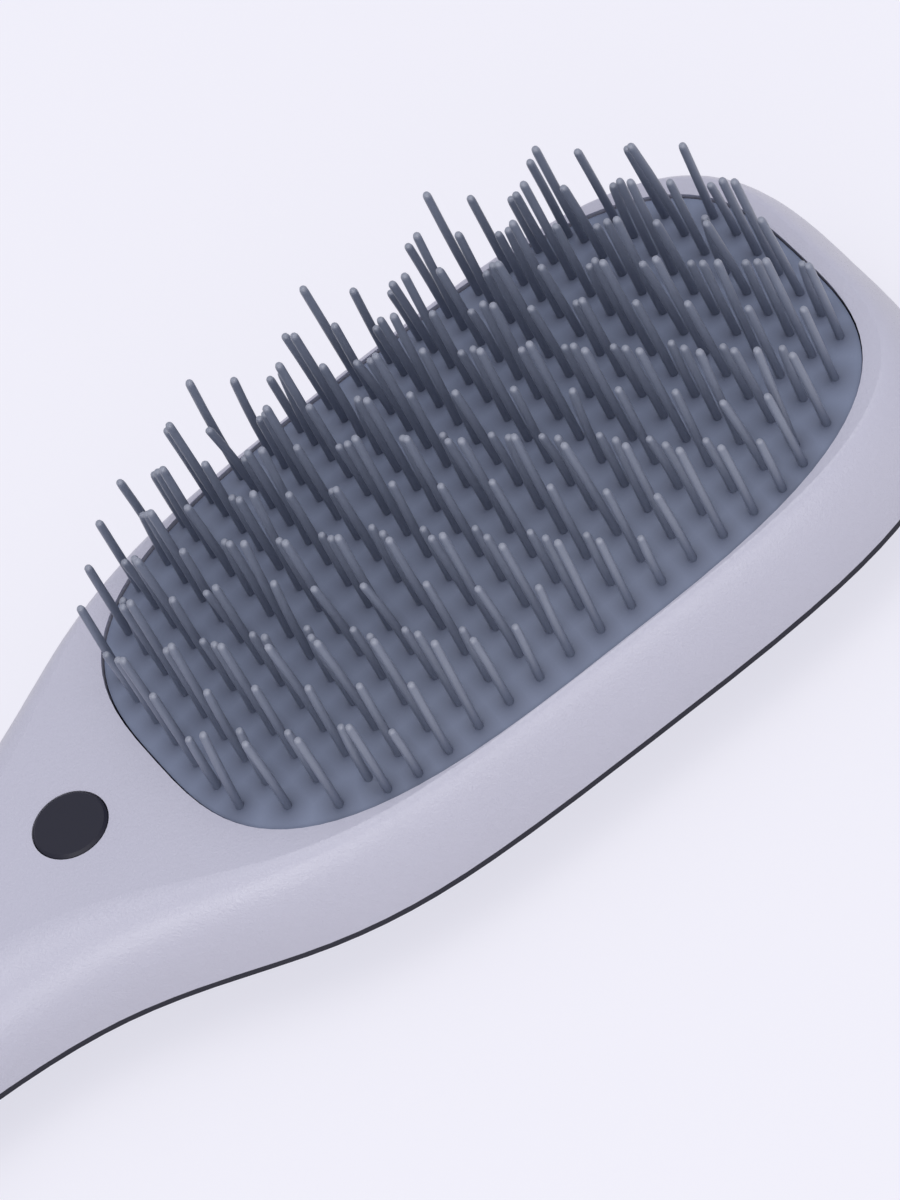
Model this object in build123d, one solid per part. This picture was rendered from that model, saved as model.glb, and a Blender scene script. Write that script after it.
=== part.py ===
from build123d import *
import math
import os

os.makedirs("parts", exist_ok=True)

# A cordless scalp massager brush lying on its back, in millimetres.  +X runs from the handle to
# the head, +Z points out of the bristles, and the origin is on the resting plane under the middle.

# Casing, outside
overall_length = 236.0
head_reach = 54.5  # middle of the cushion to the tip of the head
head_width = 67.5
head_squareness = 3.5  # exponent of the head's rounded outline
handle_width = 30.0
handle_round = 19.0  # length over which the handle's end closes
handle_squareness = 2.3
neck_back = 55.0  # middle of the cushion back to the middle of the flared neck
neck_flare = 9.6  # larger is a gentler flare
parting_height = 10.0
upper_depth = 11.7
wall = 2.0
edge_band = 0.9  # upright band of the lower casing that shows as a dark line
lip_height = 1.4
lip_wall = 1.0
lip_gap = 0.3

# How far the two shells draw in from the parting line: (even lean, rounded edge)
upper_head_lean, upper_head_roll = 2.6, 1.5
upper_tip_lean, upper_tip_roll = 2.6, 1.9
upper_handle_lean, upper_handle_roll = 1.0, 9.0
upper_end_lean, upper_end_roll = 1.0, 5.0
lower_head_lean, lower_head_roll = 11.0, 5.0
lower_handle_lean, lower_handle_roll = 7.8, 2.8

# Cushion and pins
cushion_length = 96.0
cushion_width = 58.0
cushion_squareness = 3.1
cushion_crown = 4.95
cushion_skin = 2.2
cushion_sunk = 0.45  # its edge lies this far under the casing's top face
cushion_gap = 0.4
crown_power = 1.78
skirt_wall = 2.0
skirt_hook = 1.0
lug_reach = 1.5
lug_width = 18.0
lug_height = 1.5
lug_gap = 0.3
pin_pitch = 4.5
pin_diameter = 1.1
pin_height_short = 9.9
pin_height_step = 4.05  # from short to medium, and from medium to long
pin_head_diameter = 1.9
pin_head_height = 0.7
pin_head_drop = 0.4
columns_each_way = 10
rows_each_way = 6
outer_row_side = 26.1  # the outermost rows stand a little inside the even pitch
outer_row_lean = 3.5  # degrees that they lean out
corner_pin_in = 0.6  # and their end pins stand this much further in

# Pin plate and the rubber mounts it floats on
plate_thickness = 2.0
plate_depth = 3.35  # from the cushion's edge down to the plate
tray_travel = 1.5
mount_diameter = 6.0
mount_height = 4.6
mount_x = 33.0
mount_y = 15.0
post_wall = 1.0

# Vibration motor under the plate
can_diameter = 10.0
can_length = 20.0
can_wall = 0.5
sleeve_wall = 0.6
strap_wall = 1.0
strap_width = 9.0
strap_foot = 4.5
shaft_diameter = 1.5
shaft_gap = 0.03
bushing_diameter = 3.0
bushing_length = 1.6
end_cap_length = 1.4
magnet_wall = 1.0
armature_diameter = 6.0
armature_length = 12.0
weight_radius = 4.4
weight_length = 5.0
weight_gap = 1.2  # between the can's nose and the weight
motor_x = 4.0  # middle of the can from the middle of the cushion
seat_gap = 0.02  # between flat faces that touch
round_gap = 0.08  # between round pieces that touch

# Button and circuit board
button_diameter = 9.3
button_gap = 0.15
button_back = 60.8  # middle of the cushion back to the button
button_proud = 0.3
button_travel = 0.4
button_bevel = 0.35
button_flange_diameter = 11.6
button_flange_height = 0.8
button_stem_diameter = 3.6
board_length = 27.0
board_width = 17.0
board_thickness = 1.2
board_height = 9.6  # top face of the board
board_screw_x = 10.5
switch_side = 6.0
switch_height = 4.2
plunger_diameter = 3.0
plunger_height = 0.9
plunger_root = 0.9
plunger_gap = 0.05
chip_side = 4.0
chip_height = 1.0
socket_length = 3.2
socket_width = 4.4
socket_height = 2.4

# Rechargeable cell in the handle
cell_diameter = 14.0
cell_length = 50.0
cell_back = 126.0  # middle of the cushion back to the middle of the cell
cell_centre_height = 11.6
cradle_wall = 1.0
cradle_rise = 3.0  # how far the cradle's sides reach up from the cell's underside
cradle_end = 1.2
foam_length = 30.0
foam_width = 7.0
tab_width = 5.0
tab_thickness = 0.25

# Charging socket at the end of the handle
port_width = 8.9
port_height = 3.2
port_length = 7.3
port_wall = 0.3
port_round = 1.4
port_gap = 0.25
port_centre_height = 13.6
port_inset = 0.6  # the socket's mouth behind the outer skin
charge_board_length = 12.0
charge_board_width = 9.0
charge_board_thickness = 1.0

# Screws and leads
screw_diameter = 2.0
screw_head_diameter = 3.8
screw_head_height = 1.5
screw_hole_gap = 0.02
screw_clearance = 0.15
boss_diameter = 5.6
screw_head_sunk = 1.4
screw_bite = 5.0  # how far a casing screw reaches into its boss
board_screw_length = 4.6
neck_screw_back = 53.0
neck_screw_side = 12.6
handle_screw_back = 92.0
end_screw_back = 158.5
lead_diameter = 1.1

# Derived places
head_x = overall_length / 2 - head_reach  # middle of the cushion
handle_tip = head_reach - overall_length  # the handle's end, from the middle of the cushion
top_face = parting_height + upper_depth
inner_top = top_face - wall
cushion_edge = top_face - cushion_sunk
plate_top = cushion_edge - plate_depth
plate_bottom = plate_top - plate_thickness
motor_z = plate_bottom - sleeve_wall - can_diameter / 2 - seat_gap
seam_inset = wall + lip_gap + lip_wall


def save(node, shape):
    export_step(shape, f"parts/{node}.step")


def group(solids):
    return Compound(children=list(solids))


def joined(shapes):
    return shapes[0] + shapes[1:]


def at_head(shape):
    """Carries a shape drawn about the middle of the cushion to its place in the row."""
    return Pos(head_x, 0, 0) * shape


def rod(diameter, low, high, x=0.0, y=0.0):
    return Pos(x, y, (low + high) / 2) * Cylinder(diameter / 2, high - low)


def rod_along_x(diameter, start, end, z, y=0.0):
    return Pos((start + end) / 2, y, z) * Rot(0, 90, 0) * Cylinder(diameter / 2, end - start)


def block(x_range, y_range, z_range):
    size = [high - low for low, high in (x_range, y_range, z_range)]
    middle = [(high + low) / 2 for low, high in (x_range, y_range, z_range)]
    return Pos(*middle) * Box(*size)


# ---- outlines ----


def mirrored_outline(side, z):
    """A closed outline from the points of one side, which starts and ends on the centre line."""
    points = [(x, y, z) for x, y in side]
    far = Spline(*points, tangents=((0, 1, 0), (0, -1, 0)), tangent_scalars=(1, 1))
    near = far.mirror(Plane.XZ)
    return Wire([far, near])


def flare(x):
    """0 on the handle, 1 on the head."""
    return 1 / (1 + math.exp(-(x + neck_back) / neck_flare))


def brush_outline(z, head_inset=0.0, handle_inset=0.0, tip_inset=0.0, end_inset=0.0):
    """The brush seen from above, drawn in by an inset on the head, handle and both ends."""
    head_half = head_width / 2 - head_inset
    handle_half = handle_width / 2 - handle_inset
    reach = head_reach - tip_inset
    close = handle_round - end_inset
    close_from = handle_tip + handle_round

    def body_half(x):
        return handle_half + (head_half - handle_half) * flare(x)

    side = []
    steps = 8
    for k in range(1, steps):
        angle = math.radians(90 * k / steps)
        x = reach * math.cos(angle) ** (2 / head_squareness)
        side.append((x, body_half(x) * math.sin(angle) ** (2 / head_squareness)))
    stretch = 14
    for k in range(stretch + 1):
        x = close_from * k / stretch
        side.append((x, body_half(x)))
    for k in range(1, steps):
        angle = math.radians(90 * k / steps)
        x = close_from - close * math.sin(angle) ** (2 / handle_squareness)
        side.append((x, handle_half * math.cos(angle) ** (2 / handle_squareness)))
    return mirrored_outline([(reach, 0)] + side + [(close_from - close, 0)], z)


def oval(half_length, half_width, power, z):
    """A rounded rectangle with evenly changing curvature."""
    points = []
    steps = 20
    for k in range(steps + 1):
        angle = math.pi * k / steps
        c = math.cos(angle)
        x = math.copysign(abs(c) ** (2 / power), c) * half_length
        y = abs(math.sin(angle)) ** (2 / power) * half_width
        points.append((x, y))
    points[0] = (half_length, 0)
    points[-1] = (-half_length, 0)
    return mirrored_outline(points, z)


def oval_block(inset, low, high):
    """A solid with the cushion's outline, drawn in by an inset."""
    wire = oval(cushion_length / 2 - inset, cushion_width / 2 - inset, cushion_squareness, low)
    return extrude(Face(wire), amount=high - low, dir=(0, 0, 1))


# ---- casings ----


def draw_in(level, lean, roll, power):
    return lean * level ** 1.5 + roll * (1 - math.sqrt(1 - level ** power))


def upper_form(inset, depth):
    """The upper shell's outer or inner form, standing on the parting plane."""
    sections = []
    for level in (0, 0.3, 0.55, 0.75, 0.88, 0.96, 1):
        sections.append(brush_outline(
            parting_height + depth * level,
            inset + draw_in(level, upper_head_lean, upper_head_roll, 3),
            inset + draw_in(level, upper_handle_lean, upper_handle_roll, 3),
            inset + draw_in(level, upper_tip_lean, upper_tip_roll, 3),
            inset + draw_in(level, upper_end_lean, upper_end_roll, 3),
        ))
    return loft([Face(wire) for wire in sections])


def lower_form(inset, low):
    """The lower shell's hull, from the bottom of its edge band down to a flat bottom."""
    top = parting_height - edge_band
    sections = []
    for level in (0, 0.3, 0.6, 0.85, 1):
        head = inset + lower_head_lean * level + lower_head_roll * (1 - math.sqrt(1 - level ** 3))
        handle = lower_handle_lean * level + lower_handle_roll * (1 - math.sqrt(1 - level ** 3))
        handle += inset
        sections.append(brush_outline(top - (top - low) * level, head, handle, head, handle))
    return loft([Face(wire) for wire in sections])


def outline_block(inset, low, high):
    wire = brush_outline(low, inset, inset, inset, inset)
    return extrude(Face(wire), amount=high - low, dir=(0, 0, 1))


casing_screw_places = [
    (-neck_screw_back, neck_screw_side),
    (-neck_screw_back, -neck_screw_side),
    (-handle_screw_back, 0.0),
    (-end_screw_back, 0.0),
]


def make_upper_casing():
    shell = upper_form(0, upper_depth) - upper_form(wall, upper_depth - wall)
    tray_low = plate_bottom - skirt_hook - tray_travel - lug_gap
    shell -= oval_block(-cushion_gap, tray_low, top_face + wall)
    pocket_reach = cushion_length / 2 + lug_reach + lug_gap
    pocket_half = lug_width / 2 + lug_gap
    shell -= block((-pocket_reach, pocket_reach), (-pocket_half, pocket_half), (tray_low, inner_top))
    button_hole = button_diameter / 2 + button_gap
    shell -= rod(button_hole * 2, inner_top - wall, top_face + wall, -button_back)
    bosses = [rod(boss_diameter, parting_height, top_face, x, y) for x, y in casing_screw_places]
    shell += joined(bosses) & upper_form(wall / 2, upper_depth - wall / 2)
    hole = screw_diameter + 2 * screw_hole_gap
    hole_top = parting_height + screw_bite + wall / 2
    holes = [rod(hole, parting_height - wall, hole_top, x, y) for x, y in casing_screw_places]
    return shell - holes - charging_slot()


def make_lower_casing():
    shell = outline_block(0, parting_height - edge_band, parting_height) + lower_form(0, 0)
    shell += outline_block(wall + lip_gap, parting_height - edge_band, parting_height + lip_height)
    shell -= outline_block(seam_inset, parting_height - edge_band, parting_height + 2 * lip_height)
    shell -= lower_form(seam_inset, wall)
    low = wall / 2
    posts = [rod(boss_diameter, low, parting_height - seat_gap, x, y) for x, y in casing_screw_places]
    posts += [rod(mount_diameter, low, mount_foot(), x, y) for x, y in mount_places()]
    posts += [rod(boss_diameter, low, board_bottom(), x, 0) for x in board_screw_places()]
    posts += cradle_feet()
    posts += charge_board_ledges()
    within = lower_form(wall / 2, wall / 2) + outline_block(seam_inset - lip_wall / 2, low_band_bottom(), top_face)
    shell += joined(posts) & within
    clear = screw_diameter + 2 * screw_clearance
    recess = screw_head_diameter + 2 * screw_clearance
    bite = screw_diameter + 2 * screw_hole_gap
    cuts = [rod(clear, -wall, parting_height + wall, x, y) for x, y in casing_screw_places]
    cuts += [rod(recess, -wall, screw_head_sunk + screw_head_height, x, y) for x, y in casing_screw_places]
    cuts += [rod(bite, wall, board_bottom() + wall, x, 0) for x in board_screw_places()]
    return shell - cuts


def low_band_bottom():
    return parting_height - edge_band


# ---- cushion, pins and plate ----


def dome_height(x, y):
    """Height of the cushion's skin over its edge."""
    power = cushion_squareness
    reach = abs(x * 2 / cushion_length) ** power + abs(y * 2 / cushion_width) ** power
    return cushion_crown * (1 - reach ** (crown_power / power))


def over_dome(drop, high):
    """The space above the dome, used to shape the cushion's top and its hollow."""
    columns = 19
    rows = 13
    grid = []
    for i in range(columns):
        x = cushion_length * 1.1 * (i / (columns - 1) - 0.5)
        line = []
        for j in range(rows):
            y = cushion_width * 1.1 * (j / (rows - 1) - 0.5)
            line.append(Vector(x, y, cushion_edge + dome_height(x, y) - drop))
        grid.append(line)
    skin = Face.make_surface_from_array_of_points(grid)
    return extrude(skin, amount=high, dir=(0, 0, 1))


def pin_places():
    """(x, y, lean, size) of every pin, size 0 to 2; rows shorten towards the cushion's sides."""
    places = []
    for row in range(-rows_each_way, rows_each_way + 1):
        last_column = columns_each_way - max(0, abs(row) - 3)
        for column in range(-last_column, last_column + 1):
            side = abs(row) * pin_pitch
            lean = 0
            if abs(row) == rows_each_way:
                side = outer_row_side
                lean = outer_row_lean
                if abs(column) == last_column:
                    side -= corner_pin_in
            wave = (column - abs(row)) % 4
            size = {0: 0, 1: 1, 2: 2, 3: 1}[wave]
            places.append((column * pin_pitch, math.copysign(side, row), math.copysign(lean, row), size))
    return places


def make_cushion():
    """A hollow rubber dome whose skirt hooks under the pin plate.  The rubber grips every pin tightly."""
    high = cushion_edge + cushion_crown
    cushion = oval_block(0, plate_bottom - skirt_hook, high + 1) - over_dome(0, 20)
    hollow = oval_block(skirt_wall + 1, plate_top - 1, high) - over_dome(cushion_skin, 20)
    cushion -= hollow
    cushion -= oval_block(skirt_wall, plate_bottom, plate_top)
    cushion -= oval_block(skirt_wall + 1.5, plate_bottom - 2 * skirt_hook, plate_bottom + 0.1)
    lug_top = inner_top - lug_gap
    edge = cushion_length / 2
    for side in (-1, 1):
        reach = sorted((side * (edge - skirt_wall / 2), side * (edge + lug_reach)))
        half = lug_width / 2
        cushion += block(reach, (-half, half), (lug_top - lug_height, lug_top))
    return cushion


def make_pin(height):
    """One pin with the root of its shaft, where it leaves the cushion, at the origin."""
    radius = pin_diameter / 2
    head_top = -cushion_skin - pin_head_drop
    shaft = rod(pin_diameter, head_top, height - radius)
    tip = Pos(0, 0, height - radius) * Sphere(radius)
    head = rod(pin_head_diameter, head_top - pin_head_height, head_top)
    return shaft + tip + head


def make_pins(places, size):
    pin = make_pin(pin_height_short + size * pin_height_step)
    pins = []
    for x, y, lean, pin_size in places:
        if pin_size == size:
            pins.append(Pos(x, y, cushion_edge + dome_height(x, y)) * Rot(-lean, 0, 0) * pin)
    return pins


def make_pin_plate():
    plate = oval_block(skirt_wall + seat_gap, plate_bottom + seat_gap, plate_top - seat_gap)
    for x, y in strap_screw_places():
        plate -= rod(screw_diameter + 2 * screw_hole_gap, plate_bottom - 1, plate_top + 1, x, y)
    return plate


def mount_places():
    return [(sx * mount_x, sy * mount_y) for sx in (-1, 1) for sy in (-1, 1)]


def mount_foot():
    """Top of the posts that carry the rubber mounts."""
    return plate_bottom - mount_height


def make_tray_mounts():
    low = mount_foot() + seat_gap
    return [rod(mount_diameter - 2 * post_wall, low, plate_bottom, x, y) for x, y in mount_places()]


# ---- motor ----


def can_ends():
    return motor_x - can_length / 2, motor_x + can_length / 2


def make_motor_can():
    start, end = can_ends()
    can = rod_along_x(can_diameter, start, end, motor_z)
    can -= rod_along_x(can_diameter - 2 * can_wall, start - 1, end - can_wall, motor_z)
    return can - rod_along_x(bushing_diameter, end - 1, end + 1, motor_z)


def make_motor_end_cap():
    start = can_ends()[0]
    cap = rod_along_x(can_diameter - 2 * can_wall, start, start + end_cap_length, motor_z)
    return cap - rod_along_x(shaft_diameter + 2 * shaft_gap, start - 1, start + end_cap_length + 1, motor_z)


def make_motor_bushing():
    end = can_ends()[1]
    bushing = rod_along_x(bushing_diameter, end - can_wall, end - can_wall + bushing_length, motor_z)
    return bushing - rod_along_x(shaft_diameter + 2 * shaft_gap, end - 3, end + 3, motor_z)


def make_motor_magnets():
    start = can_ends()[0] + end_cap_length + 1
    end = can_ends()[1] - can_wall - 1
    outer = can_diameter - 2 * can_wall - 2 * round_gap
    ring = rod_along_x(outer, start, end, motor_z)
    ring -= rod_along_x(outer - 2 * magnet_wall, start - 1, end + 1, motor_z)
    gap = magnet_wall
    ring -= block((start - 1, end + 1), (-gap, gap), (motor_z - outer, motor_z + outer))
    return ring.solids()


def weight_ends():
    start = can_ends()[1] - can_wall + bushing_length + weight_gap - can_wall
    return start, start + weight_length


def make_motor_shaft():
    start = can_ends()[0] + can_wall
    return rod_along_x(shaft_diameter, start, weight_ends()[1] + 0.5, motor_z)


def make_armature():
    middle = motor_x
    half = armature_length / 2
    core = rod_along_x(armature_diameter, middle - half, middle + half, motor_z)
    slots = 3
    for k in range(slots):
        slot = block((middle - half - 1, middle + half + 1), (-0.4, 0.4), (armature_diameter / 4, armature_diameter))
        core -= Pos(0, 0, motor_z) * Rot(360 * k / slots, 0, 0) * slot
    return core - rod_along_x(shaft_diameter, middle - half - 1, middle + half + 1, motor_z)


def make_eccentric_weight():
    start, end = weight_ends()
    weight = rod_along_x(2 * weight_radius, start, end, motor_z)
    weight -= block(
        (start - 1, end + 1),
        (-weight_radius - 1, weight_radius + 1),
        (motor_z + shaft_diameter, motor_z + weight_radius + 1),
    )
    return weight - rod_along_x(shaft_diameter, start - 1, end + 1, motor_z)


def make_motor_sleeve():
    half = strap_width / 2 + 1
    outer = can_diameter + 2 * sleeve_wall
    sleeve = rod_along_x(outer, motor_x - half, motor_x + half, motor_z)
    return sleeve - rod_along_x(can_diameter + 2 * round_gap, motor_x - half - 1, motor_x + half + 1, motor_z)


def strap_screw_places():
    reach = can_diameter / 2 + sleeve_wall + strap_wall + strap_foot / 2
    return [(motor_x, -reach), (motor_x, reach)]


def make_motor_strap():
    """A saddle clamp: a half ring under the motor with a foot on each side against the plate."""
    inner = can_diameter / 2 + sleeve_wall + round_gap
    outer = inner + strap_wall
    start = motor_x - strap_width / 2
    end = motor_x + strap_width / 2
    top = plate_bottom - seat_gap
    strap = rod_along_x(2 * outer, start, end, motor_z)
    strap += block((start, end), (-outer, outer), (motor_z, top))
    reach = outer + strap_foot
    strap += block((start, end), (-reach, reach), (top - strap_wall, top))
    strap -= rod_along_x(2 * inner, start - 1, end + 1, motor_z)
    strap -= block((start - 1, end + 1), (-inner, inner), (motor_z, top + 1))
    strap &= block((start, end), (-reach, reach), (motor_z - outer - 1, top))
    for x, y in strap_screw_places():
        strap -= rod(screw_diameter + 2 * screw_clearance, top - 3, top + 1, x, y)
    return strap


def make_screw(shank_length):
    """A pan-head screw pointing up, with the underside of its head at the origin."""
    head = rod(screw_head_diameter, -screw_head_height, 0)
    slot = screw_head_diameter * 0.22
    cross = Box(screw_head_diameter * 0.6, slot, 0.7) + Box(slot, screw_head_diameter * 0.6, 0.7)
    head -= Pos(0, 0, -screw_head_height) * cross
    return head + rod(screw_diameter, 0, shank_length)


def make_strap_screws():
    low = plate_bottom - seat_gap - strap_wall
    length = strap_wall + plate_thickness - 0.4
    return [Pos(x, y, low) * make_screw(length) for x, y in strap_screw_places()]


def make_casing_screws():
    low = screw_head_sunk + screw_head_height
    length = parting_height + screw_bite - low
    return [Pos(x, y, low) * make_screw(length) for x, y in casing_screw_places]


# ---- button and board ----


def board_bottom():
    return board_height - board_thickness


def board_screw_places():
    return [-button_back - board_screw_x, -button_back + board_screw_x]


def make_circuit_board():
    half_length = board_length / 2
    half_width = board_width / 2
    board = block(
        (-button_back - half_length, -button_back + half_length),
        (-half_width, half_width),
        (board_bottom() + seat_gap, board_height),
    )
    board = fillet(board.edges().filter_by(Axis.Z), 1.5)
    for x in board_screw_places():
        board -= rod(screw_diameter + 2 * screw_clearance, 0, top_face, x, 0)
    return board


def make_board_screws():
    screws = []
    for x in board_screw_places():
        screw = Rot(180, 0, 0) * make_screw(board_screw_length)
        screws.append(Pos(x, 0, board_height + seat_gap) * screw)
    return screws


def switch_top():
    return board_height + seat_gap + switch_height


def make_tact_switch():
    half = switch_side / 2
    body = block(
        (-button_back - half, -button_back + half),
        (-half, half),
        (board_height + seat_gap, switch_top()),
    )
    well = plunger_diameter + 2 * plunger_gap
    depth = plunger_root + button_travel + 0.1
    return body - rod(well, switch_top() - depth, switch_top() + 1, -button_back)


def make_switch_plunger():
    return rod(plunger_diameter, switch_top() - plunger_root, switch_top() + plunger_height, -button_back)


def make_power_button():
    crown_top = top_face + button_proud
    flange_top = inner_top - seat_gap
    cap = rod(button_diameter, flange_top - button_flange_height, crown_top)
    cap = chamfer(cap.edges().sort_by(Axis.Z)[-1], button_bevel)
    flange = rod(button_flange_diameter, flange_top - button_flange_height, flange_top)
    stem_low = switch_top() + plunger_height + seat_gap
    stem = rod(button_stem_diameter, stem_low, flange_top)
    return Pos(-button_back, 0, 0) * (cap + flange + stem)


def make_driver_chip():
    half = chip_side / 2
    x = -button_back - 6.5
    return block((x - half, x + half), (5.5 - half, 5.5 + half), chip_span())


def chip_span():
    return board_height + seat_gap, board_height + seat_gap + chip_height


def lead_socket_places():
    """Front edge of the board for the motor, rear edge for the cell and the charging board."""
    front = -button_back + board_length / 2 - socket_length / 2
    rear = -button_back - board_length / 2 + socket_length / 2
    return {"motor": (front, 5.0), "cell": (rear, -5.2), "charge": (rear, 1.0 + socket_width)}


def make_lead_sockets():
    sockets = []
    for x, y in lead_socket_places().values():
        sockets.append(block(
            (x - socket_length / 2, x + socket_length / 2),
            (y - socket_width / 2, y + socket_width / 2),
            (board_height + seat_gap, board_height + seat_gap + socket_height),
        ))
    return sockets


# ---- cell and charging socket ----


def cell_ends():
    return -cell_back - cell_length / 2, -cell_back + cell_length / 2


def make_battery_cell():
    start, end = cell_ends()
    nub = 1.0
    cell = rod_along_x(cell_diameter, start, end - nub, cell_centre_height)
    return cell + rod_along_x(5.5, end - nub, end, cell_centre_height)


def make_battery_tabs():
    start, end = cell_ends()
    half = tab_width / 2
    z = (cell_centre_height - half, cell_centre_height + half)
    rear = block((start - seat_gap - tab_thickness, start - seat_gap), (-half, half), z)
    front = block((end + seat_gap, end + seat_gap + tab_thickness), (-half, half), z)
    return [rear, front]


def cradle_span():
    low, high = cell_ends()
    room = seat_gap + tab_thickness + seat_gap
    return low - room - cradle_end, high + room + cradle_end


def make_battery_cradle():
    """A shallow trough with two low end walls."""
    start, end = cradle_span()
    outer = cell_diameter / 2 + cradle_wall
    low = cell_centre_height - outer
    rise = cell_centre_height - cell_diameter / 2 + cradle_rise
    body = rod_along_x(2 * outer, start, end, cell_centre_height)
    body &= block((start, end), (-outer, outer), (low - 1, rise))
    room = (start + cradle_end, end - cradle_end)
    body -= rod_along_x(cell_diameter + 2 * round_gap, room[0], room[1], cell_centre_height)
    return body


def cradle_feet():
    """Two cross ribs in the lower casing that the cradle lies in."""
    outer = cell_diameter / 2 + cradle_wall + round_gap
    feet = []
    for x in (-cell_back - cell_length / 4, -cell_back + cell_length / 4):
        rib = block((x - 1, x + 1), (-outer, outer), (wall / 2, cell_centre_height - outer + cradle_rise - 1))
        feet.append(rib - rod_along_x(2 * outer, x - 2, x + 2, cell_centre_height))
    return feet


def make_battery_foam():
    low = cell_centre_height + cell_diameter / 2
    half = foam_width / 2
    pad = block(
        (-cell_back - foam_length / 2, -cell_back + foam_length / 2),
        (-half, half),
        (low - 2, inner_top - 3 * seat_gap),
    )
    return pad - rod_along_x(cell_diameter + 2 * round_gap, -cell_back - foam_length, -cell_back + foam_length,
                             cell_centre_height)


def port_mouth():
    """Distance along the brush of the charging socket's mouth."""
    return handle_tip + port_inset + 0.4


def rounded_bar(width, height, radius, start, end, z):
    sketch = RectangleRounded(width, height, radius)
    bar = extrude(Plane.YZ * sketch, amount=end - start)
    return Pos(start, 0, z) * bar


def charging_slot():
    width = port_width + 2 * port_gap
    height = port_height + 2 * port_gap
    start = handle_tip - 5
    return rounded_bar(width, height, port_round + port_gap, start, port_mouth() + 4, port_centre_height)


def make_charging_port():
    start = port_mouth()
    end = start + port_length
    shell = rounded_bar(port_width, port_height, port_round, start, end, port_centre_height)
    inner_width = port_width - 2 * port_wall
    inner_height = port_height - 2 * port_wall
    inner_round = port_round - port_wall
    shell -= rounded_bar(inner_width, inner_height, inner_round, start - 1, end - port_wall, port_centre_height)
    return shell


def make_port_tongue():
    start = port_mouth() + 1
    end = port_mouth() + port_length - port_wall - seat_gap
    half = port_width * 0.36
    return block((start, end), (-half, half), (port_centre_height - 0.35, port_centre_height + 0.35))


def charge_board_span():
    start = port_mouth() + 3.5
    return start, start + charge_board_length


def charge_board_top():
    return port_centre_height - port_height / 2 - seat_gap


def make_charging_board():
    half = charge_board_width / 2
    top = charge_board_top()
    return block(charge_board_span(), (-half, half), (top - charge_board_thickness, top))


def charge_board_ledges():
    """Two ledges of the lower casing under the charging board's sides."""
    start, end = charge_board_span()
    top = charge_board_top() - charge_board_thickness - seat_gap
    seats = []
    for side in (-1, 1):
        y = sorted((side * 2.5, side * 4.5))
        seats.append(block((start + 5.5, end), y, (wall / 2, top)))
    return seats


# ---- leads ----


def lead(points):
    """A round wire along straight runs joined by arcs."""
    radii = []
    runs = [Vector(*b) - Vector(*a) for a, b in zip(points, points[1:])]
    for before, after in zip(runs, runs[1:]):
        turn = math.radians(before.get_angle(after))
        radii.append(0.45 * min(before.length, after.length) / math.tan(turn / 2))
    path = FilletPolyline(*points, radius=radii)
    return sweep((path ^ 0) * Circle(lead_diameter / 2), path=path)


def make_motor_leads():
    x, y = lead_socket_places()["motor"]
    start_x = x + socket_length / 2 + 0.2
    z = lead_height()
    end_x = can_ends()[0] - 0.3
    leads = []
    for side in (-1, 1):
        leads.append(lead([
            (start_x, y + side * 1.1, z),
            (start_x + 7, y + side * 1.1, z - 0.6),
            (end_x - 18, y - 0.6 + side * 1.1, z - 2.2),
            (end_x - 7, side * 2.0 + 0.8, motor_z - 0.8),
            (end_x, side * 2.2, motor_z),
        ]))
    return leads


def lead_height():
    return board_height + seat_gap + socket_height / 2


def make_cell_leads():
    """One lead to the cell's front tab, and one along its side to the rear tab."""
    x, y = lead_socket_places()["cell"]
    start_x = x - socket_length / 2 - 0.2
    z = lead_height()
    front = cradle_span()[1] + 0.4
    rear = cradle_span()[0] - 0.4
    tab = cell_centre_height + 1.0
    side = -cell_diameter / 2 - 2.2
    past_post = -handle_screw_back - boss_diameter / 2
    short = lead([
        (start_x, y + 1.2, z),
        (start_x - 8, y + 1.0, z + 0.4),
        (past_post + 1, y + 0.9, tab - 0.4),
        (front, -1.8, tab),
    ])
    long = lead([
        (start_x, y - 1.2, z),
        (start_x - 9, y - 0.9, z + 0.5),
        (past_post + 4, y - 1.8, z + 0.9),
        (front - 2, side, z + 1.3),
        (-cell_back, side - 0.2, z + 1.0),
        (rear + 6, side, z + 1.2),
        (rear - 1.4, side + 1.4, tab - 0.5),
        (rear - 1.6, -4.6, tab - 0.2),
        (rear, -1.6, tab),
    ])
    return [short, long]


def make_charge_leads():
    """Two leads along the cell's other side to the charging board."""
    x, y = lead_socket_places()["charge"]
    start_x = x - socket_length / 2 - 0.2
    z = lead_height()
    front = cradle_span()[1]
    rear = cradle_span()[0]
    side = cell_diameter / 2 + 2.2
    end_x = charge_board_span()[1] + 0.4
    leads = []
    for k in (0, 1):
        rise = 1.9 * k
        leads.append(lead([
            (start_x, y - 1.6 + 1.9 * k, z),
            (start_x - 9, y - 1.0 + 1.5 * k, z + 0.3 + rise / 2),
            (-handle_screw_back, y + 0.6 + 0.5 * k, z + 0.8 + rise),
            (front - 3, side, z + 1.0 + rise),
            (-cell_back, side + 0.2, z + 0.8 + rise),
            (rear + 8, side, z + 0.9 + rise),
            (rear - 6, side - 3.6 + 0.4 * k, z + 0.6 + rise * 0.8),
            (end_x, 2.2 + 1.7 * k, charge_board_top() - charge_board_thickness / 2),
        ]))
    return leads


# ---- write every piece ----

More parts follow.
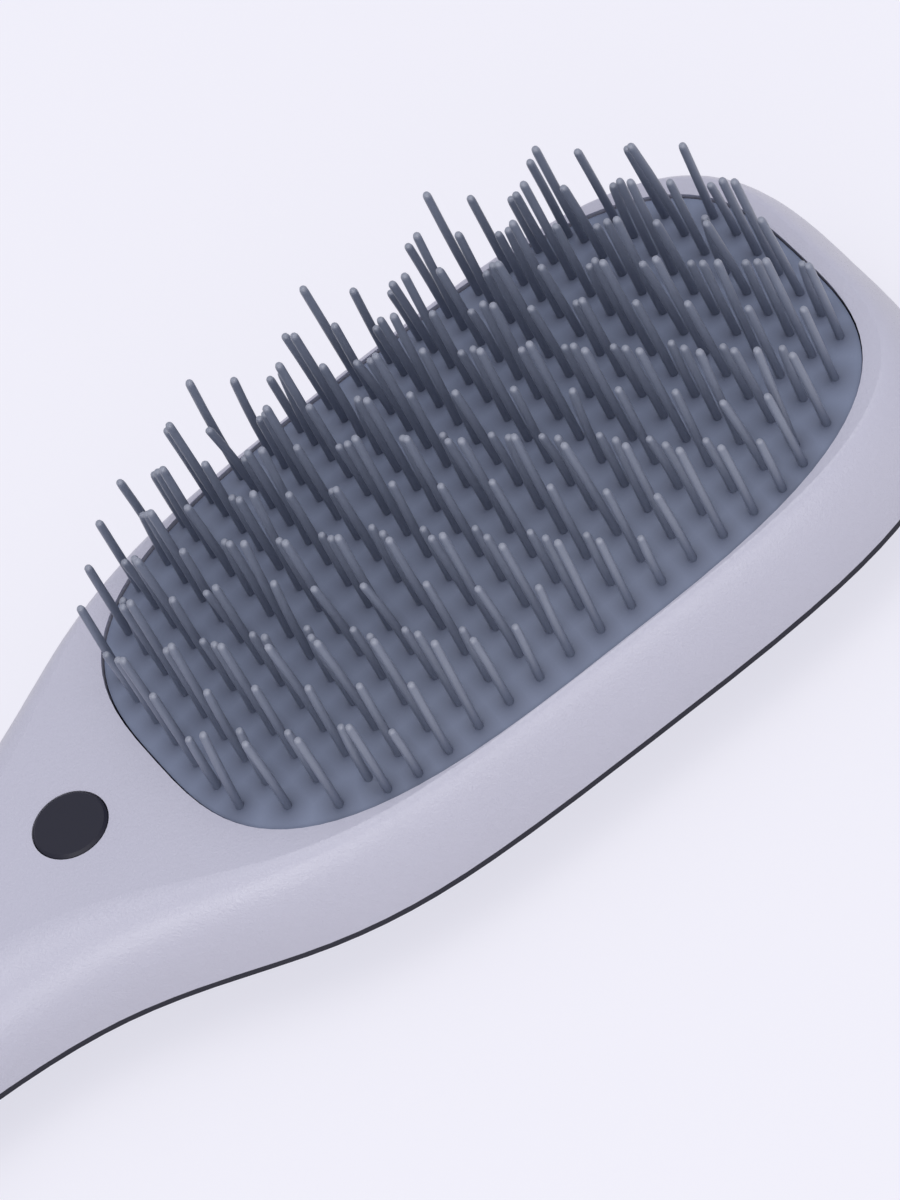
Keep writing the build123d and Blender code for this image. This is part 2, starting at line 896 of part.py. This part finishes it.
places = pin_places()
save("upper_casing", at_head(make_upper_casing()))
save("lower_casing", at_head(make_lower_casing()))
save("casing_screws", at_head(group(make_casing_screws())))
save("bristle_cushion", at_head(make_cushion()))
for size, label in enumerate(("short", "medium", "long")):
    save(f"pins_{label}", at_head(group(make_pins(places, size))))
save("pin_plate", at_head(make_pin_plate()))
save("tray_mounts", at_head(group(make_tray_mounts())))
save("motor_can", at_head(make_motor_can()))
save("motor_end_cap", at_head(make_motor_end_cap()))
save("motor_bushing", at_head(make_motor_bushing()))
save("motor_magnets", at_head(group(make_motor_magnets())))
save("motor_shaft", at_head(make_motor_shaft()))
save("motor_armature", at_head(make_armature()))
save("eccentric_weight", at_head(make_eccentric_weight()))
save("motor_sleeve", at_head(make_motor_sleeve()))
save("motor_strap", at_head(make_motor_strap()))
save("strap_screws", at_head(group(make_strap_screws())))
save("power_button", at_head(make_power_button()))
save("switch_plunger", at_head(make_switch_plunger()))
save("tact_switch", at_head(make_tact_switch()))
save("circuit_board", at_head(make_circuit_board()))
save("board_screws", at_head(group(make_board_screws())))
save("driver_chip", at_head(make_driver_chip()))
save("lead_sockets", at_head(group(make_lead_sockets())))
save("battery_cell", at_head(make_battery_cell()))
save("battery_tabs", at_head(group(make_battery_tabs())))
save("battery_cradle", at_head(make_battery_cradle()))
save("battery_foam", at_head(make_battery_foam()))
save("charging_port", at_head(make_charging_port()))
save("port_tongue", at_head(make_port_tongue()))
save("charging_board", at_head(make_charging_board()))
save("motor_leads", at_head(group(make_motor_leads())))
save("cell_leads", at_head(group(make_cell_leads())))
save("charge_leads", at_head(group(make_charge_leads())))
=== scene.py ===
import math
import random

import bpy
from mathutils import Matrix, Quaternion, Vector


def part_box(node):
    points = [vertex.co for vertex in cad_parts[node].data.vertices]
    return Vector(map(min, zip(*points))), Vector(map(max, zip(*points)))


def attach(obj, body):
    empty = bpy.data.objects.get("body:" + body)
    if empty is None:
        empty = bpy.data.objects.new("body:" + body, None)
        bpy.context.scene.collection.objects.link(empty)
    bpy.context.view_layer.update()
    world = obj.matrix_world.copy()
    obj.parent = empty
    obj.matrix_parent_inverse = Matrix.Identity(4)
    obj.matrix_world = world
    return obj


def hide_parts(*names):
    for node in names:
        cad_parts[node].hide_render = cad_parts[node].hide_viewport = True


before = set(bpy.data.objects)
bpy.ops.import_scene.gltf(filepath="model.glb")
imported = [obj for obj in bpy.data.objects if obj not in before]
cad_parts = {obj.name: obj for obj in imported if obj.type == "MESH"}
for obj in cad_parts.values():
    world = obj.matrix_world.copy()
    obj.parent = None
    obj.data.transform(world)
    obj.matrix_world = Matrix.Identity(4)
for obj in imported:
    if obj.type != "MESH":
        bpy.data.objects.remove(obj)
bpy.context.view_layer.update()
mm = 0.001

low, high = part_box("bristle_cushion")
headMiddle = Vector(((low.x + high.x) / 2, 0, 0))
domeTop = high.z


# small helpers

def deselectAll():
    if bpy.context.object and bpy.context.object.mode != "OBJECT":
        bpy.ops.object.mode_set(mode="OBJECT")
    bpy.ops.object.select_all(action="DESELECT")


def activate(thing):
    deselectAll()
    thing.select_set(True)
    bpy.context.view_layer.objects.active = thing


def editing(on):
    bpy.ops.object.mode_set(mode="EDIT" if on else "OBJECT")


def applied(thing, kind, **settings):
    activate(thing)
    modifier = thing.modifiers.new(kind.title(), kind)
    for key, value in settings.items():
        setattr(modifier, key, value)
    bpy.ops.object.modifier_apply(modifier=modifier.name)


# shader maths: a Wire is one output socket, and sums on it add Math nodes

class Wire:
    def __init__(self, finish, socket):
        self.finish, self.socket = finish, socket

    def sum(self, operation, first, second=0.0):
        return self.finish.node("ShaderNodeMath", {"operation": operation}, {0: first, 1: second})

    def __add__(self, other): return self.sum("ADD", self, other)
    def __sub__(self, other): return self.sum("SUBTRACT", self, other)
    def __rsub__(self, other): return self.sum("SUBTRACT", other, self)
    def __mul__(self, other): return self.sum("MULTIPLY", self, other)

    __radd__ = __add__
    __rmul__ = __mul__

    def between(self, start, end):      # 0 up to start, 1 from end on
        return self.finish.node("ShaderNodeMapRange", {"interpolation_type": "SMOOTHSTEP"},
                                {"Value": self, "From Min": start, "From Max": end})


class Finish:
    def __init__(self, name, **fixed):
        self.material = bpy.data.materials.new(name)
        self.material.use_nodes = True
        self.tree = self.material.node_tree
        self.shader = self.tree.nodes["Principled BSDF"]
        self.place = self.node("ShaderNodeTexCoord", out="Object")
        for key, value in fixed.items():
            self.set(key.replace("_", " "), value)

    def node(self, kind, settings=None, inputs=None, out=0):
        made = self.tree.nodes.new(kind)
        for key, value in (settings or {}).items():
            setattr(made, key, value)
        for key, value in (inputs or {}).items():
            self.feed(made.inputs[key], value)
        return Wire(self, made.outputs[out])

    def feed(self, socket, value):
        if isinstance(value, Wire):
            self.tree.links.new(value.socket, socket)
        elif socket.type == "RGBA" and len(value) == 3:
            socket.default_value = (*value, 1)
        else:
            socket.default_value = value

    def set(self, name, value):
        self.feed(self.shader.inputs[name], value)

    def noise(self, size, detail=2.0, rough=0.5, stretch=None):
        where = self.place
        if stretch:
            where = self.node("ShaderNodeMapping", {}, {"Vector": where, "Scale": stretch})
        return self.node("ShaderNodeTexNoise", {}, {"Vector": where, "Scale": 1 / size,
                                                    "Detail": detail, "Roughness": rough})

    def cells(self, size, feature="F1", scatter=1.0):
        return self.node("ShaderNodeTexVoronoi", {"feature": feature},
                         {"Vector": self.place, "Scale": 1 / size, "Randomness": scatter}, "Distance")

    def mix(self, amount, first, second):       # sockets 6, 7 and 2 are the Mix node's colours
        return self.node("ShaderNodeMix", {"data_type": "RGBA"}, {0: amount, 6: first, 7: second}, out=2)

    def bump(self, height, depth):
        return self.node("ShaderNodeBump", {}, {"Height": height, "Distance": depth})


def scaled(colour, by):                 # a darker or lighter shade
    return tuple(min(1.0, part * by) for part in colour)


def wear(nodes, finish):                # puts one finish on some of the carried-over pieces
    for name in nodes:
        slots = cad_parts[name].data.materials
        slots.clear()
        slots.append(finish.material)


# camera

view = {"aim": Vector((-9.97, -7.12, -6.2)) * mm, "azimuth": -10.79, "elevation": 49.177,
        "roll": -29.77, "distance": 0.99584, "lens": 256.5, "film": 36.0}

azimuth, elevation = math.radians(view["azimuth"]), math.radians(view["elevation"])
towards = Vector((-math.sin(azimuth) * math.cos(elevation), math.cos(azimuth) * math.cos(elevation),
                  -math.sin(elevation)))
aim = headMiddle + Vector((0, 0, domeTop)) + view["aim"]
bpy.ops.object.camera_add(location=aim - towards * view["distance"])
camera = bpy.context.object
camera.rotation_mode = "QUATERNION"
camera.rotation_quaternion = (towards.to_track_quat("-Z", "Y")
                              @ Quaternion((0, 0, 1), math.radians(view["roll"])))
camera.data.lens = view["lens"]
camera.data.sensor_width = view["film"]
camera.data.clip_start, camera.data.clip_end = 0.01, 20
bpy.context.scene.camera = camera
print("camera placed")


# lamps, floor and the room's pale air

lamps = {
    "overhead": {"at": (0.15, -0.10, 1.20), "aim": (0.05, 0, 0), "size": (1.0, 0.8),
                 "watts": 5.6, "colour": (1.0, 0.985, 0.965)},
    "nearWindow": {"at": (-0.30, -1.05, 0.62), "aim": (0.04, 0, 0), "size": (0.75, 0.45),
                   "watts": 3.0, "colour": (1.0, 0.99, 0.96)},
    "neckPanel": {"at": (-0.70, -0.78, 0.60), "aim": (-0.05, -0.02, 0.02), "size": (0.24, 0.16),
                  "watts": 3.0, "colour": (1.0, 0.99, 1.0), "onlyGloss": True},
    "rimPanel": {"at": (0.30, -1.10, 0.38), "aim": (0.03, -0.03, 0.02), "size": (0.24, 0.16),
                 "watts": 2.0, "colour": (1.0, 0.99, 1.0), "onlyGloss": True},
}
room = {"air": (0.91, 0.92, 1.0), "strength": 0.66,
        "paper": (0.89, 0.87, 0.86), "floor": (0.880, 0.875, 0.985), "floorSize": 8.0,
        "glow": 0.76}                   # the share of the floor that shows its plain colour, unshadowed

for lampName, lamp in lamps.items():
    bpy.ops.object.light_add(type="AREA", location=lamp["at"])
    light = bpy.context.object
    light.name = lampName
    light.data.shape = "RECTANGLE"
    light.data.size, light.data.size_y = lamp["size"]
    light.data.energy = lamp["watts"]
    light.data.color = lamp["colour"]
    light.visible_diffuse = not lamp.get("onlyGloss")       # the small panels only draw the soft highlights
    light.rotation_euler = (Vector(lamp["aim"]) - Vector(lamp["at"])).to_track_quat("-Z", "Y").to_euler()

# the air lights the object with one colour, and the camera sees the floor's colour behind it
world = bpy.data.worlds.new("studioAir")
bpy.context.scene.world = world
world.use_nodes = True
airTree = world.node_tree
lit = airTree.nodes["Background"]
lit.inputs["Color"].default_value = (*room["air"], 1)
lit.inputs["Strength"].default_value = room["strength"]
seen = airTree.nodes.new("ShaderNodeBackground")
seen.inputs["Color"].default_value = (*room["floor"], 1)
path = airTree.nodes.new("ShaderNodeLightPath")
either = airTree.nodes.new("ShaderNodeMixShader")
airTree.links.new(path.outputs["Is Camera Ray"], either.inputs["Fac"])
airTree.links.new(lit.outputs["Background"], either.inputs[1])
airTree.links.new(seen.outputs["Background"], either.inputs[2])
airTree.links.new(either.outputs["Shader"], airTree.nodes["World Output"].inputs["Surface"])

deselectAll()
bpy.ops.mesh.primitive_plane_add(size=room["floorSize"], location=(0, 0, 0))
floor = bpy.context.object
floor.name = "studioFloor"
paper = Finish("palePaper", Roughness=0.9, Specular_IOR_Level=0.1)
paper.set("Base Color", paper.mix(paper.noise(0.35, 1.0), scaled(room["paper"], 0.99), room["paper"]))
matt = Wire(paper, paper.shader.outputs["BSDF"])
glow = paper.node("ShaderNodeEmission", {}, {"Color": room["floor"]})
cameraRay = paper.node("ShaderNodeLightPath", out="Is Camera Ray")
mixed = paper.node("ShaderNodeMixShader", {}, {0: cameraRay * room["glow"], 1: matt, 2: glow})
paper.feed(paper.tree.nodes["Material Output"].inputs["Surface"], mixed)
floor.data.materials.append(paper.material)
bpy.context.scene.view_settings.view_transform = "Standard"
print("lamps and floor placed")


# finishes: most drift between two shades and carry a fine grain in colour, roughness and surface

def mouldedPlastic(name, colour, rough=0.45, grain=0.3 * mm, depth=0.004 * mm, gloss=0.5):
    look = {"cloud": 14 * mm, "drift": 0.06, "speckle": 0.25, "speckleShade": 1.12, "swing": 0.1}
    finish = Finish(name, Specular_IOR_Level=gloss)
    cloudy = finish.noise(look["cloud"], 3.0)
    fine = finish.noise(grain, 3.0, 0.6)
    shade = finish.mix(cloudy, scaled(colour, 1 - look["drift"]), scaled(colour, 1 + look["drift"]))
    shade = finish.mix(fine * look["speckle"], shade, scaled(colour, look["speckleShade"]))
    finish.set("Base Color", shade)
    finish.set("Roughness", rough - look["swing"] / 2 + look["swing"] * fine)
    finish.set("Normal", finish.bump(fine, depth))
    return finish


def brushedMetal(name, colour, rough=0.3, along=(1, 12, 12)):
    look = {"streak": 1.5 * mm, "stain": 5 * mm, "tarnish": 0.8, "swing": 0.16, "depth": 0.002 * mm}
    finish = Finish(name, Metallic=1.0)
    streaks = finish.noise(look["streak"], 4.0, 0.6, stretch=along)
    stains = finish.noise(look["stain"], 3.0).between(0.35, 0.75)
    finish.set("Base Color", finish.mix(stains, colour, scaled(colour, look["tarnish"])))
    finish.set("Roughness", rough - look["swing"] / 2 + look["swing"] * streaks)
    finish.set("Normal", finish.bump(streaks, look["depth"]))
    return finish


def softRubber(name, colour):
    look = {"cloud": 11 * mm, "drift": 0.07, "grain": 0.25 * mm, "speckle": 0.3, "speckleShade": 0.85,
            "rough": 0.62, "swing": 0.1, "depth": 0.006 * mm}
    finish = Finish(name, Specular_IOR_Level=0.35)
    cloudy = finish.noise(look["cloud"], 3.0)
    fine = finish.noise(look["grain"], 2.0)
    shade = finish.mix(cloudy, scaled(colour, 1 - look["drift"]), scaled(colour, 1 + look["drift"]))
    shade = finish.mix(fine * look["speckle"], shade, scaled(colour, look["speckleShade"]))
    finish.set("Base Color", shade)
    finish.set("Roughness", look["rough"] - look["swing"] / 2 + look["swing"] * fine)
    finish.set("Normal", finish.bump(fine, look["depth"]))
    return finish


def satinShell():                       # the pale casing: satin lilac grey with a fine sparkle, partly real gloss in the grain and partly pale flakes painted into the colour for its glints
    look = {"colour": (0.499, 0.494, 0.592), "cloud": 22 * mm, "drift": 0.025,
            "sparkle": 0.24 * mm, "flake": (0.78, 0.78, 0.88), "flakeAndGlintShare": 0.15, "flakeGloss": 0.14,
            "rough": 0.30, "swing": 0.08, "grain": 0.40 * mm, "depth": 0.055 * mm}
    finish = Finish("satinShell", Specular_IOR_Level=0.5)
    cloudy = finish.noise(look["cloud"], 2.0)
    fine = finish.noise(look["sparkle"], 2.0, 0.7)
    grain = finish.noise(look["grain"], 2.0)
    flakes = fine.between(0.60, 0.72)
    shade = finish.mix(cloudy, scaled(look["colour"], 1 - look["drift"]),
                       scaled(look["colour"], 1 + look["drift"]))
    # pale flakes: a fine grain in the colour that also stands in for the sparkle's glints, a painted glint
    finish.set("Base Color", finish.mix(flakes * look["flakeAndGlintShare"], shade, look["flake"]))
    finish.set("Roughness", look["rough"] + look["swing"] * grain - look["flakeGloss"] * flakes)
    finish.set("Normal", finish.bump(grain + 0.8 * fine, look["depth"]))
    return finish


wear(["upper_casing"], satinShell())
wear(["lower_casing"],
     mouldedPlastic("darkShell", (0.019, 0.019, 0.032), 0.55, 0.25 * mm, 0.006 * mm, gloss=0.25))
wear(["power_button"],
     mouldedPlastic("charcoalButton", (0.015, 0.015, 0.028), 0.5, 0.2 * mm, 0.006 * mm, gloss=0.3))
wear(["pin_plate", "motor_end_cap", "motor_strap", "battery_cradle"],
     mouldedPlastic("milkyNylon", (0.60, 0.59, 0.55), 0.45))
wear(["tray_mounts", "motor_sleeve"], softRubber("blackRubber", (0.030, 0.030, 0.032)))
wear(["motor_can", "motor_armature", "tact_switch"], brushedMetal("zincedSteel", (0.60, 0.60, 0.62), 0.32))
wear(["motor_bushing", "eccentric_weight"],
     brushedMetal("turnedBrass", (0.72, 0.52, 0.24), 0.28, (12, 1, 1)))
wear(["motor_shaft"], brushedMetal("groundShaft", (0.66, 0.66, 0.67), 0.16, (14, 1, 1)))
wear(["casing_screws", "strap_screws", "board_screws"],
     brushedMetal("blackedScrew", (0.26, 0.26, 0.28), 0.35, (6, 6, 1)))
wear(["battery_tabs", "charging_port"], brushedMetal("nickelStrip", (0.68, 0.66, 0.62), 0.22))
wear(["motor_magnets"], mouldedPlastic("ferrite", (0.060, 0.058, 0.060), 0.6, 0.15 * mm, 0.010 * mm))
wear(["switch_plunger", "driver_chip", "port_tongue"],
     mouldedPlastic("blackResin", (0.025, 0.025, 0.027), 0.5))
wear(["lead_sockets"], mouldedPlastic("ivoryNylon", (0.78, 0.75, 0.66), 0.4))
wear(["motor_leads"], mouldedPlastic("blueInsulation", (0.03, 0.06, 0.26), 0.38))
wear(["cell_leads"], mouldedPlastic("redInsulation", (0.36, 0.02, 0.02), 0.38))
wear(["charge_leads"], mouldedPlastic("blackInsulation", (0.02, 0.02, 0.022), 0.38))


def boardFinish():                      # lacquer over copper tracks
    look = {"lacquer": (0.010, 0.105, 0.035), "track": (0.030, 0.190, 0.070), "pitch": 2.2 * mm,
            "rough": 0.35, "swing": 0.1, "grain": 1 * mm, "depth": 0.02 * mm}
    finish = Finish("boardLacquer", Coat_Weight=0.4, Coat_Roughness=0.15)
    edges = finish.cells(look["pitch"], "DISTANCE_TO_EDGE", scatter=0.35)
    tracks = 1 - edges.between(0.06, 0.10)
    finish.set("Base Color", finish.mix(tracks, look["lacquer"], look["track"]))
    finish.set("Roughness", look["rough"] + look["swing"] * finish.noise(look["grain"]))
    finish.set("Normal", finish.bump(tracks, look["depth"]))
    return finish


def cellWrap():                         # heat-shrunk sleeve with faint wrinkles
    look = {"colour": (0.035, 0.16, 0.34), "drift": 0.1, "wrinkle": 3 * mm,
            "rough": 0.25, "swing": 0.12, "depth": 0.03 * mm}
    finish = Finish("cellWrap", Coat_Weight=0.5, Coat_Roughness=0.1)
    wrinkles = finish.noise(look["wrinkle"], 3.0, stretch=(0.35, 1, 1))
    finish.set("Base Color", finish.mix(wrinkles, scaled(look["colour"], 1 - look["drift"]),
                                        scaled(look["colour"], 1 + look["drift"])))
    finish.set("Roughness", look["rough"] + look["swing"] * wrinkles)
    finish.set("Normal", finish.bump(wrinkles, look["depth"]))
    return finish


def openFoam():
    look = {"colour": (0.115, 0.115, 0.120), "pore": 0.5 * mm,
            "rough": 0.9, "swing": 0.1, "depth": 0.15 * mm}
    finish = Finish("openFoam", Specular_IOR_Level=0.15)
    pores = finish.cells(look["pore"])
    # darker in the hollows between the raised cells: painted shade in the pores
    finish.set("Base Color", finish.mix(pores, scaled(look["colour"], 1.3), scaled(look["colour"], 0.5)))
    finish.set("Roughness", look["rough"] - look["swing"] * pores)
    finish.set("Normal", finish.bump(1 - pores, look["depth"]))
    return finish


wear(["circuit_board", "charging_board"], boardFinish())
wear(["battery_cell"], cellWrap())
wear(["battery_foam"], openFoam())
print("carried-over pieces finished")


# pins: one is modelled with its tip at real size, and each copy gets its own length, lean and bend

pin = {"sides": 9, "radius": 0.55 * mm, "pitch": 4.5 * mm, "model": 20 * mm, "tip": 0.9 * mm,
       "tipDimple": 0.05 * mm, "sunk": 1.2 * mm, "footLayer": 0.1 * mm,
       "rings": [(4.0, 1.0), (5.0, 1.0), (5.0, 0.985), (5.1, 0.985),
                 (0.45, 0.94), (0.27, 0.80), (0.13, 0.62)],     # each ring's rise in mm, and its shrink
       "lean": 0.9, "bend": 0.25 * mm, "seed": 11,              # lean in degrees
       "farthest": 0.962,               # how far out a root may stand, as a share of the way to the edge
       "smoothTo": 60}
# the cushion's shape, and the reach of its painted shade round each pin's root
cushion = {"half": (48.0 * mm, 29.0 * mm), "square": 3.1, "crown": 4.95 * mm, "power": 1.78,
           "cells": (176, 108), "skin": 2.0 * mm, "dimple": 0.16 * mm, "dimpleReach": 1.25 * mm,
           "edgeRound": 0.35 * mm, "edgeSteps": 3, "swell": 0.2 * mm, "paintedShadeReach": 2.7 * mm,
           "smoothTo": 50}
edgeHeight = domeTop - cushion["crown"]
chance = random.Random(pin["seed"])


def outwards(x, y):                     # 0 in the cushion's middle, 1 on its outline
    halfX, halfY = cushion["half"]
    square = cushion["square"]
    return (abs(x / halfX) ** square + abs(y / halfY) ** square) ** (1 / square)


def skinHeight(x, y):                   # the cushion's dome over its edge, as in the CAD
    return cushion["crown"] * (1 - outwards(x, y) ** cushion["power"])


def latticeCell(x, y):                  # the column and row of the pins' lattice nearest to a place
    return round(x / pin["pitch"]), round(y / pin["pitch"])


def modelPin():
    deselectAll()
    bpy.ops.mesh.primitive_circle_add(vertices=pin["sides"], radius=pin["radius"], fill_type="NGON",
                                      location=(0, 0, 0))
    made = bpy.context.object
    editing(True)
    bpy.ops.mesh.select_all(action="SELECT")
    for rise, shrink in pin["rings"]:
        bpy.ops.mesh.extrude_region_move(TRANSFORM_OT_translate={"value": (0, 0, rise * mm)})
        bpy.ops.transform.resize(value=(shrink, shrink, 1))
    bpy.ops.mesh.poke(offset=-pin["tipDimple"])
    bpy.ops.mesh.select_all(action="SELECT")
    bpy.ops.mesh.normals_make_consistent(inside=False)
    editing(False)
    bpy.ops.object.shade_smooth_by_angle(angle=math.radians(pin["smoothTo"]))
    return made


def pinSeats(node):                     # middle of the foot and the top of each pin of a CAD node
    found = {}
    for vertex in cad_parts[node].data.vertices:
        spot = vertex.co - headMiddle
        found.setdefault(latticeCell(spot.x, spot.y), []).append(spot)
    seats = []
    for cell, spots in sorted(found.items()):
        bottom = min(spot.z for spot in spots)
        feet = [spot for spot in spots if spot.z < bottom + pin["footLayer"]]
        seats.append((sum(feet, Vector()) / len(feet), max(spots, key=lambda spot: spot.z)))
    return seats


def plantPin(foot, top):                # a copy of the model, from inside the cushion's skin up to the tip
    slope = (top - foot) / (top.z - foot.z)
    root = edgeHeight + skinHeight(foot.x, foot.y)
    x, y = (foot + slope * (root - foot.z)).xy
    drawnIn = min(1, pin["farthest"] / outwards(x, y))
    x, y = x * drawnIn, y * drawnIn
    everySeat.append((x, y))
    start = root - pin["sunk"]
    stretch = (top.z - start - pin["tip"]) / (pin["model"] - pin["tip"])
    leanX, leanY = (way + math.tan(math.radians(chance.gauss(0, pin["lean"]))) for way in slope.xy)
    bendX, bendY = (chance.gauss(0, pin["bend"]) for way in "xy")
    mesh = pinModel.data.copy()
    rise = mesh.attributes.new("rise", "FLOAT", "POINT")        # 0 at the root, 1 at the tip; it places the pins' painted shade, painted light and painted tip highlight
    modelTop = max(v.co.z for v in mesh.vertices)
    turn = Matrix.Rotation(chance.uniform(0, math.tau), 3, "Z")
    for v in mesh.vertices:
        spot = turn @ v.co
        z = spot.z * stretch if spot.z < modelTop - pin["tip"] else spot.z - modelTop + top.z - start
        up = start + z - root
        share = max(0.0, up / (top.z - root))
        rise.data[v.index].value = share
        v.co = Vector((headMiddle.x + x + spot.x + leanX * up + bendX * share ** 2,
                       y + spot.y + leanY * up + bendY * share ** 2, start + z))
    return mesh


def nylonPins():                        # slate nylon, paler towards the tip: painted shade low on the shaft, painted light higher up and a painted highlight on the tip
    # low, high and tip: the shaft's colour with painted shade at the root, painted light higher up and a
    # painted highlight on the tip
    look = {"low": (0.118, 0.136, 0.196), "high": (0.210, 0.234, 0.312), "tip": (0.29, 0.31, 0.38),
            "cloud": (0.12, 0.14, 0.19), "cloudSize": 6 * mm, "cloudShare": 0.3,
            "fibre": 0.5 * mm, "rough": 0.30, "swing": 0.12, "depth": 0.006 * mm}
    finish = Finish("slateNylonPins", Specular_IOR_Level=0.5)
    height = finish.node("ShaderNodeAttribute", {"attribute_name": "rise"}, out="Fac")
    cloudy = finish.noise(look["cloudSize"], 2.0)
    fibre = finish.noise(look["fibre"], 2.0, stretch=(1, 1, 0.15))
    # painted shade low on the shaft, painted light towards the top
    shaft = finish.mix(height.between(0.0, 0.8), look["low"], look["high"])
    # painted highlight on the tip
    shaft = finish.mix(height.between(0.96, 1.0), shaft, look["tip"])
    finish.set("Base Color", finish.mix(cloudy * look["cloudShare"], shaft, look["cloud"]))
    finish.set("Roughness", look["rough"] + look["swing"] * fibre)
    finish.set("Normal", finish.bump(fibre, look["depth"]))
    return finish


pinModel = modelPin()
pinFinish = nylonPins()
everySeat = []
for length in ("short", "medium", "long"):
    node = "pins_" + length
    copies = []
    for foot, top in pinSeats(node):
        copy = bpy.data.objects.new(node + "_copy", plantPin(foot, top))
        bpy.context.scene.collection.objects.link(copy)
        copies.append(copy)
    deselectAll()
    for copy in copies:
        copy.select_set(True)
    bpy.context.view_layer.objects.active = copies[0]
    bpy.ops.object.join()
    joined = bpy.context.object
    joined.name = "moulded_pins_" + length
    joined.data.materials.clear()
    joined.data.materials.append(pinFinish.material)
    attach(joined, "bristle_tray")
    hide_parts(node)
bpy.data.objects.remove(pinModel)
print("pins:", len(everySeat))


# cushion: a grid drawn into the cushion's outline, domed, dimpled at each pin, given painted shade round
# each pin's root and given its thickness

def modelCushion():
    deselectAll()
    bpy.ops.mesh.primitive_grid_add(x_subdivisions=cushion["cells"][0], y_subdivisions=cushion["cells"][1],
                                    size=2, location=(0, 0, 0))
    made = bpy.context.object
    made.name = "rubber_cushion"
    halfX, halfY = cushion["half"]
    seatOf = {latticeCell(x, y): (x, y) for x, y in everySeat}
    shade = made.data.attributes.new("root", "FLOAT", "POINT")  # 1 at a pin's root, 0 far from any; it places the cushion's painted shade
    for v in made.data.vertices:
        u, w = v.co.x, v.co.y
        reach = max(abs(u), abs(w))
        rounded = outwards(u * halfX, w * halfY)
        pull = 1 + (reach / rounded - 1) * reach ** 3 if rounded else 1     # draws the grid's corners in
        x, y = u * pull * (halfX + cushion["swell"]), w * pull * (halfY + cushion["swell"])
        z = edgeHeight + skinHeight(u * pull * halfX, w * pull * halfY)
        column, row = latticeCell(x, y)
        around = [seatOf.get((column + i, row + j)) for i in (-1, 0, 1) for j in (-1, 0, 1)]
        gap = min((math.dist(seat, (x, y)) for seat in around if seat), default=halfX)
        if gap < cushion["dimpleReach"]:
            z -= cushion["dimple"] * (1 - (gap / cushion["dimpleReach"]) ** 2) ** 2
        # painted shade round each pin's root, wide enough to darken the whole pin field
        shade.data[v.index].value = math.exp(-(gap / cushion["paintedShadeReach"]) ** 2)
        v.co = (headMiddle.x + x, y, z)
    smoothTo = math.radians(cushion["smoothTo"])
    applied(made, "SOLIDIFY", thickness=cushion["skin"], offset=-1, use_even_offset=False)
    applied(made, "BEVEL", width=cushion["edgeRound"], segments=cushion["edgeSteps"], limit_method="ANGLE",
            angle_limit=smoothTo)
    bpy.ops.object.shade_smooth_by_angle(angle=smoothTo)
    return made


def rubberDome():                       # slate rubber, darker where the pins stand: painted shade round each pin's root and across the pin field
    # dark and pale give the rubber's drifting tone; the root colour and its share give the painted shade
    # round each pin's root
    look = {"dark": (0.196, 0.232, 0.336), "pale": (0.222, 0.260, 0.370), "cloud": 12 * mm,
            "root": (0.070, 0.078, 0.118), "paintedShadeShare": 0.62,
            "speckle": (0.135, 0.162, 0.240), "speckleShare": 0.2, "grain": 0.28 * mm,
            "rough": 0.5, "swing": 0.12, "depth": 0.006 * mm}
    finish = Finish("slateRubberDome", Specular_IOR_Level=0.4)
    cloudy = finish.noise(look["cloud"], 3.0)
    fine = finish.noise(look["grain"], 2.0)
    paintedRootShade = finish.node("ShaderNodeAttribute", {"attribute_name": "root"}, out="Fac")
    shade = finish.mix(cloudy, look["dark"], look["pale"])
    # painted shade round each pin's root, darkening the pin field
    shade = finish.mix(paintedRootShade * look["paintedShadeShare"], shade, look["root"])
    finish.set("Base Color", finish.mix(fine * look["speckleShare"], shade, look["speckle"]))
    finish.set("Roughness", look["rough"] + look["swing"] * fine)
    finish.set("Normal", finish.bump(fine, look["depth"]))
    return finish


rubber = modelCushion()
rubber.data.materials.append(rubberDome().material)
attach(rubber, "bristle_tray")
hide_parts("bristle_cushion")
print("cushion:", len(rubber.data.polygons), "faces")
